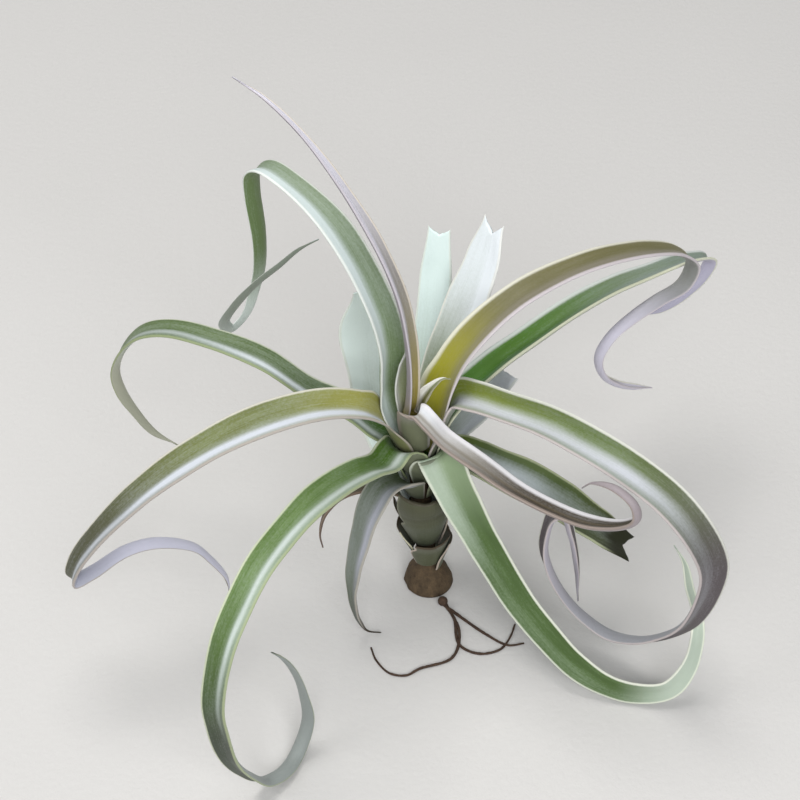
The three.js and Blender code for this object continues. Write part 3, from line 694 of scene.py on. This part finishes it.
# one cup as a very short leaf that ends just past its sheath
def shortCup(heading, rank, slot):
    rim = plan["rootRadius"] + cups["rise"] * plan["flare"]
    top = plan["topRoot"] - plan["step"] * rank + cups["rise"]
    lean = axisAt(top) - plan["crownLean"]
    angle = math.radians(heading)
    mouth = (rim + cups["spread"] + lean * math.cos(angle), top + cups["lip"], -lean * math.sin(angle))
    return {"slot": slot, "heading": heading, "rank": rank, "rise": cups["rise"], "path": [mouth],
            "width": [share * rim for share in cups["widths"]], "roll": cups["roll"],
            "wall": plan["sheathWall"], "notch": cups["notch"], "look": cups["look"]}


for i, (heading, rank) in enumerate(cups["places"]):
    slot = "leaf_dry" if i % 2 else "leaf_silver"
    dressLeaf("old_sheath_%d" % (i + 1), shortCup(heading, rank, slot), "_skin")
print("old leaf bases:", len(cups["places"]))


def barkMaterial(name, dark, light):
    material, bench = startMaterial(name)
    place = bench.objectPlace()
    stretched = bench.node("ShaderNodeMapping", {}, {"Vector": place, "Scale": (1, 1, 0.35)})
    flakes = bench.noise(stretched, 420.0, 5.0, 0.65)
    spots = bench.noise(place, 1500.0, 3.0, 0.6)
    colour = (flakes * 1.5 - 0.25 + (spots - 0.5) * 0.4).clamp().tint(paint(dark), paint(light))
    height = flakes + spots * 0.4
    endMaterial(bench, colour, 0.8 + flakes * 0.15, height, 0.0006, {"Specular IOR Level": 0.25})
    return material


# a ring joined to the ring before it, capped where it ends a piece
def addRing(bm, previous, radius, place, sides, cap):
    ring = bmesh.ops.create_circle(bm, segments=sides, radius=radius, cap_ends=cap, matrix=place)["verts"]
    edges = list({e for v in ring for e in v.link_edges})
    if previous:
        bmesh.ops.bridge_loops(bm, edges=previous + edges)
    return edges


# the stem's outline from the trimmed butt up as radius and height in millimetres, its bumps in metres
stemLook = {
    "profile": [(9, 0), (10, 1), (9, 5), (6.5, 8), (4.2, 10), (4.2, 66), (3, 76), (2, 78)], "sides": 64,
    "cuts": 24, "bumps": 0.0005, "sunk": 0.0006, "dark": "2f271e", "light": "6d5b45",
}


def turnStem():
    bm = bmesh.new()
    previous = None
    for radius, height in stemLook["profile"]:
        place = Matrix.Translation((0, 0, height * mm))
        previous = addRing(bm, previous, radius * mm, place, stemLook["sides"], previous is None)
    bmesh.ops.holes_fill(bm, edges=[e for e in bm.edges if e.is_boundary], sides=0)
    tall = [e for e in bm.edges if abs(e.verts[0].co.z - e.verts[1].co.z) > 4 * mm]
    bmesh.ops.subdivide_edges(bm, edges=tall, cuts=stemLook["cuts"], use_grid_fill=True)
    for v in bm.verts:
        outward = Vector((v.co.x, v.co.y, 0))
        if v.co.z > 0.5 * mm and outward.length > 1e-6:  # the butt stays flat
            rough = (noise.noise(v.co * 380) + noise.noise(v.co * 120)) * stemLook["bumps"]
            v.co += outward.normalized() * (rough - stemLook["sunk"])
        v.co.x += axisAt(v.co.z / mm) * mm
    bmesh.ops.recalc_face_normals(bm, faces=bm.faces)
    return finishPiece("stem_bark", bm, ["stem"])


turnStem().data.materials.append(barkMaterial("stemBark", stemLook["dark"], stemLook["light"]))
print("stem turned")

# each root lies on the ground through its points; the knot joins them where they leave the butt
rootLook = {
    "threads": [
        [(5, -11.6), (9, -19), (11, -32), (18, -36), (26, -34), (30, -28), (32, -22)],
        [(6, -12), (11, -26), (8, -38), (-4, -43), (-9, -46), (-15, -45), (-20, -39), (-22, -33)],
        [(4.5, -12), (13, -20), (21, -27), (29, -32), (35, -31)],
    ],
    "radius": 0.6, "steps": 90, "sides": 10, "thinning": 0.45, "bumps": 0.18,
    "knot": (5, -12.1), "knotRadius": 1.9, "dark": "2c211b", "light": "5d4a3d",
}


def drawRoots():
    bm = bmesh.new()
    radius, steps = rootLook["radius"], rootLook["steps"]
    for thread in rootLook["threads"]:
        line = threadPoints([Vector((x, y, radius + 0.02)) for x, y in thread], steps)[0]
        previous = None
        for i, point in enumerate(line):
            ahead = (line[min(steps, i + 1)] - line[max(0, i - 1)]).normalized()
            turn = ahead.to_track_quat("Z", "Y").to_matrix().to_4x4()
            thinned = radius * (1 - rootLook["thinning"] * (i / steps) ** 2)
            thick = thinned * (1 + rootLook["bumps"] * noise.noise(point * 0.9))
            centre = Vector((point.x, point.y, max(thick, point.z - radius + thick)))
            place = Matrix.Translation(centre * mm) @ turn
            previous = addRing(bm, previous, thick * mm, place, rootLook["sides"], i in (0, steps))
    knot = Vector((*rootLook["knot"], rootLook["knotRadius"])) * mm
    bmesh.ops.create_icosphere(bm, subdivisions=3, radius=rootLook["knotRadius"] * mm,
                               matrix=Matrix.Translation(knot))
    bmesh.ops.recalc_face_normals(bm, faces=bm.faces)
    return finishPiece("roots_wiry", bm, ["roots"])


drawRoots().data.materials.append(barkMaterial("rootBark", rootLook["dark"], rootLook["light"]))
print("roots drawn")

# the studio, in metres: a pale floor, three soft lights and a faint even sky
studio = {
    "floor": {"size": 6.0, "dark": "cfcdca", "light": "d6d4d1"},
    "lights": {
        "overhead": {"place": (-0.15, 0.25, 1.3), "size": 0.8, "power": 8, "colour": (1.0, 0.99, 0.97)},
        "front": {"place": (0.2, -1.1, 0.9), "size": 1.0, "power": 13, "colour": (0.97, 0.98, 1.0)},
        "left": {"place": (-1.0, -0.1, 0.7), "size": 0.8, "power": 3, "colour": (1.0, 1.0, 1.0)},
    },
    "aim": (0, 0, 0.09), "sky": (0.9, 0.92, 0.95, 1), "skyStrength": 0.35,
    "camera": (-0.0112, -0.49374, 0.59121), "tilt": 45, "lens": 90, "sensor": 36,
}


def buildFloor(look):
    bm = bmesh.new()
    bmesh.ops.create_grid(bm, x_segments=1, y_segments=1, size=look["size"] / 2)
    mesh = bpy.data.meshes.new("floor")
    bm.to_mesh(mesh)
    bm.free()
    floor = bpy.data.objects.new("floor", mesh)
    bpy.context.scene.collection.objects.link(floor)
    material, bench = startMaterial("paleFloor")
    place = bench.objectPlace()
    colour = bench.noise(place, 6.0, 2.0).tint(paint(look["dark"]), paint(look["light"]))
    endMaterial(bench, colour, 0.9, bench.noise(place, 400.0, 2.0), 0.0002, {"Specular IOR Level": 0.2})
    mesh.materials.append(material)


def softLight(name, look, aim):
    light = bpy.data.lights.new(name, "AREA")
    light.shape = "DISK"
    light.size = look["size"]
    light.energy = look["power"]
    light.color = look["colour"]
    lamp = bpy.data.objects.new(name, light)
    lamp.location = look["place"]
    lamp.rotation_euler = (Vector(aim) - Vector(look["place"])).to_track_quat("-Z", "Y").to_euler()
    bpy.context.scene.collection.objects.link(lamp)


def evenSky(colour, strength):
    world = bpy.data.worlds.new("studio")
    world.use_nodes = True
    sky = world.node_tree.nodes["Background"]
    sky.inputs["Color"].default_value = colour
    sky.inputs["Strength"].default_value = strength
    bpy.context.scene.world = world


def placeCamera():
    camera = bpy.data.objects.new("camera", bpy.data.cameras.new("camera"))
    camera.data.lens = studio["lens"]
    camera.data.sensor_width = studio["sensor"]
    camera.data.clip_start = 0.01
    camera.location = studio["camera"]
    camera.rotation_euler = (math.radians(studio["tilt"]), 0, 0)
    bpy.context.scene.collection.objects.link(camera)
    bpy.context.scene.camera = camera


buildFloor(studio["floor"])
for name, look in studio["lights"].items():
    softLight(name, look, studio["aim"])
evenSky(studio["sky"], studio["skyStrength"])
bpy.context.scene.view_settings.view_transform = "Standard"
placeCamera()
print("stage and camera set")
